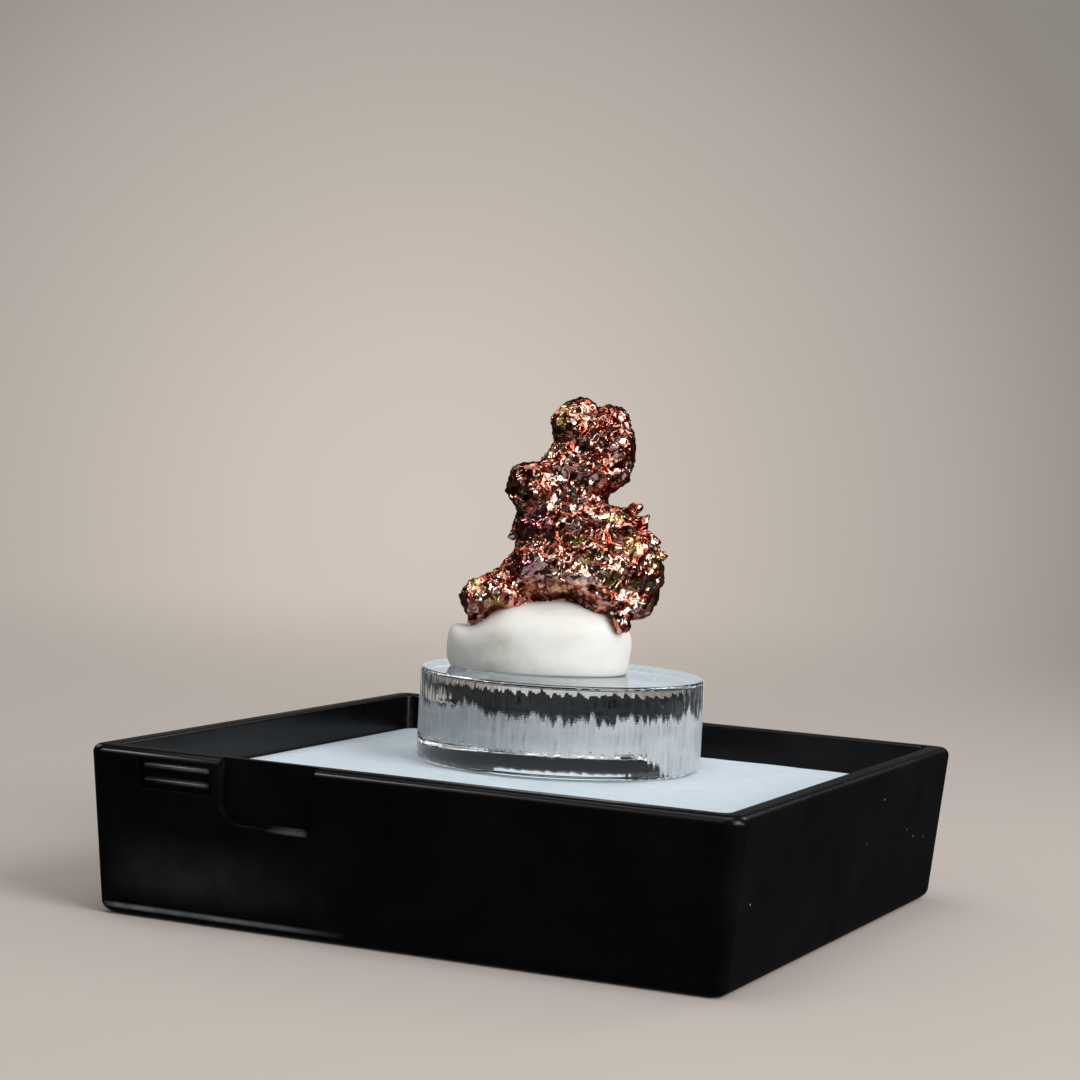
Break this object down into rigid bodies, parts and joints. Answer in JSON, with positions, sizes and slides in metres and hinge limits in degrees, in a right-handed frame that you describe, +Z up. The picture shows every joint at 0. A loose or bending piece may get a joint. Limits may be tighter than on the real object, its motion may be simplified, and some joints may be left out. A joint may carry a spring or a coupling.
{
  "type": "native copper nugget mounted in a specimen box base",
  "caption": "Knobbly native copper nugget set in white putty on a clear acrylic disc, displayed in a shallow black box base with a foam pad.",
  "frame": {"origin": "centre of the box base's underside", "axes": "+Z up; -Y is the outward normal of the box wall with the finger notch; +X is to the right seen from there"},
  "size_m": [0.032, 0.032, 0.0249],
  "materials": {
    "black_plastic": "glossy moulded black polystyrene",
    "white_foam": "soft white foam",
    "clear_acrylic": "clear, with a saw-cut wall",
    "white_putty": "matt off-white putty",
    "native_copper": "bright crystalline copper with darker hollows"
  },
  "bodies": {
    "root": {"box_tray": "black_plastic", "foam_pad": "white_foam", "acrylic_disc": "clear_acrylic", "mounting_putty": "white_putty", "copper_nugget": "native_copper"}
  },
  "joints": []
}
